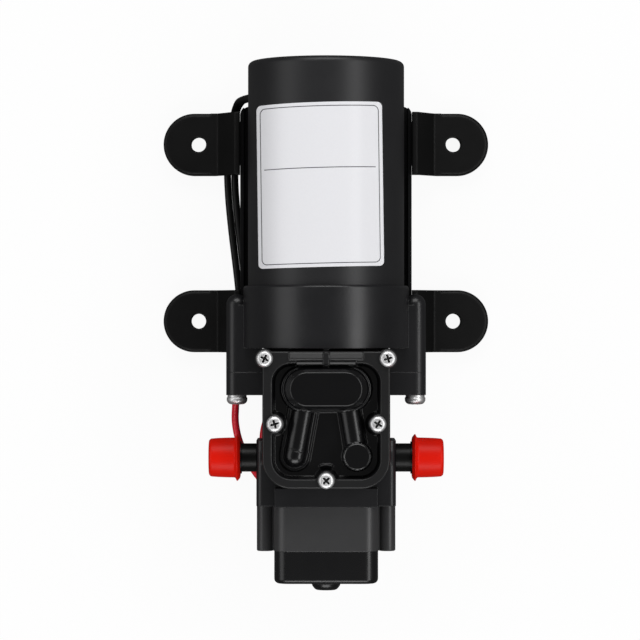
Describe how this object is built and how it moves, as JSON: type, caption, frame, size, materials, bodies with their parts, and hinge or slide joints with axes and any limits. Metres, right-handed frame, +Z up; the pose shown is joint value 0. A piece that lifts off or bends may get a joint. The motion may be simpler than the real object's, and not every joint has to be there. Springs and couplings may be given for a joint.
{
  "type": "diaphragm water pump",
  "caption": "Small 12 V diaphragm water pump on rubber feet: black motor can, pump head with side ports under red transit caps, and a pressure switch.",
  "frame": {"origin": "centre of the four mounting holes, on the plane of the feet's undersides", "axes": "+Y along the motor towards its closed end, +Z up from the floor, +X to the right seen from above with the motor at the far end"},
  "size_m": [0.1048, 0.165, 0.0608],
  "materials": {
    "motor_paint": "satin black paint",
    "label_film": "pale printed film, blank",
    "housing_plastic": "fine moulded black",
    "cover_plastic": "fine moulded black",
    "switch_plastic": "fine moulded dark grey",
    "fitting_plastic": "smooth black",
    "foot_rubber": "smooth black rubber",
    "seal_rubber": "smooth black rubber",
    "bracket_paint": "satin black paint",
    "bright_zinc": "bright zinc plate",
    "red_cap": "soft orange-red vinyl",
    "black_lead": "black insulation",
    "red_lead": "red insulation",
    "steel": "ground steel",
    "core_steel": "varnished laminations",
    "copper": "copper",
    "brass_parts": "plain brass",
    "magnet": "sintered ferrite",
    "carbon": "graphite",
    "board": "phenolic board",
    "white_plastic": "natural acetal"
  },
  "bodies": {
    "housing": {"motor_can": "motor_paint", "lead_grommet": "seal_rubber", "rear_bush": "brass_parts", "field_magnets": "magnet", "magnet_clip": "steel", "brush_card": "board", "brush_holders": "brass_parts", "carbon_brushes": "carbon", "brush_springs": "bright_zinc", "motor_end_plate": "steel", "front_bearing": "steel", "rating_label": "label_film", "crank_housing": "housing_plastic", "ear_screws": "bright_zinc", "ear_washers": "bright_zinc", "base_bracket": "bracket_paint", "bracket_screws": "bright_zinc", "upper_left_foot": "foot_rubber", "upper_right_foot": "foot_rubber", "lower_left_foot": "foot_rubber", "lower_right_foot": "foot_rubber", "pump_body": "housing_plastic", "diaphragm": "seal_rubber", "valve_plate": "housing_plastic", "cover_gasket": "seal_rubber", "front_cover": "cover_plastic", "cover_screws": "bright_zinc", "left_port_fitting": "fitting_plastic", "right_port_fitting": "fitting_plastic", "port_seals": "seal_rubber", "switch_housing": "switch_plastic", "switch_cap": "switch_plastic", "switch_screws": "bright_zinc", "switch_diaphragm": "seal_rubber", "micro_switch": "board", "switch_terminals": "brass_parts", "terminal_sleeves": "red_lead", "switch_spring": "bright_zinc", "motor_leads": "black_lead", "lead_splices": "black_lead", "switch_leads": "red_lead"},
    "rotor": {"motor_shaft": "steel", "armature_core": "core_steel", "armature_windings": "copper", "commutator": "copper", "front_bearing_race": "steel", "eccentric": "brass_parts", "eccentric_bearing": "steel"},
    "yoke": {"yoke": "white_plastic", "upper_piston": "white_plastic", "piston_screw": "bright_zinc"},
    "left_cap": {"left_cap": "red_cap"},
    "right_cap": {"right_cap": "red_cap"},
    "inlet_valve": {"inlet_valve": "seal_rubber"},
    "outlet_valve": {"outlet_valve": "seal_rubber"},
    "plunger": {"switch_plunger": "white_plastic"},
    "button": {"switch_button": "white_plastic"},
    "seat": {"spring_seat": "white_plastic"},
    "adjuster": {"adjusting_screw": "switch_plastic"}
  },
  "joints": [
    {"name": "rotor_spin", "type": "hinge", "parent": "housing", "child": "rotor", "pos_m": [0, 0, 0.0305], "axis": [0, 1, 0], "continuous": true},
    {"name": "yoke_stroke", "type": "slide", "parent": "housing", "child": "yoke", "axis": [0, 0, 1], "range_m": [-0.001, 0.001], "stiffness_N_per_m": 200, "deforming": ["diaphragm"]},
    {"name": "left_cap_pull", "type": "slide", "parent": "housing", "child": "left_cap", "axis": [-1, 0, 0], "range_m": [0, 0.03]},
    {"name": "right_cap_pull", "type": "slide", "parent": "housing", "child": "right_cap", "axis": [1, 0, 0], "range_m": [0, 0.03]},
    {"name": "inlet_valve_lift", "type": "slide", "parent": "housing", "child": "inlet_valve", "axis": [0, 0, -1], "range_m": [0, 0.0005], "stiffness_N_per_m": 5},
    {"name": "outlet_valve_lift", "type": "slide", "parent": "housing", "child": "outlet_valve", "axis": [0, 0, 1], "range_m": [0, 0.0005], "stiffness_N_per_m": 5},
    {"name": "plunger_travel", "type": "slide", "parent": "housing", "child": "plunger", "axis": [0, -1, 0], "range_m": [0, 0.0006], "stiffness_N_per_m": 200, "deforming": ["switch_spring"]},
    {"name": "button_press", "type": "slide", "parent": "housing", "child": "button", "axis": [0, -1, 0], "range_m": [0, 0.0006]},
    {"name": "seat_travel", "type": "slide", "parent": "housing", "child": "seat", "axis": [0, 1, 0], "range_m": [-0.0008, 0], "deforming": ["switch_spring"]},
    {"name": "pressure_adjust", "type": "hinge", "parent": "seat", "child": "adjuster", "pos_m": [0, -0.1102, 0.035], "axis": [0, 1, 0], "range_deg": [-360, 0]}
  ],
  "couplings": [
    {"joint": "button_press", "follows": "plunger_travel", "ratio": 1},
    {"joint": "pressure_adjust", "follows": "seat_travel", "rad_per_m": 7850}
  ]
}
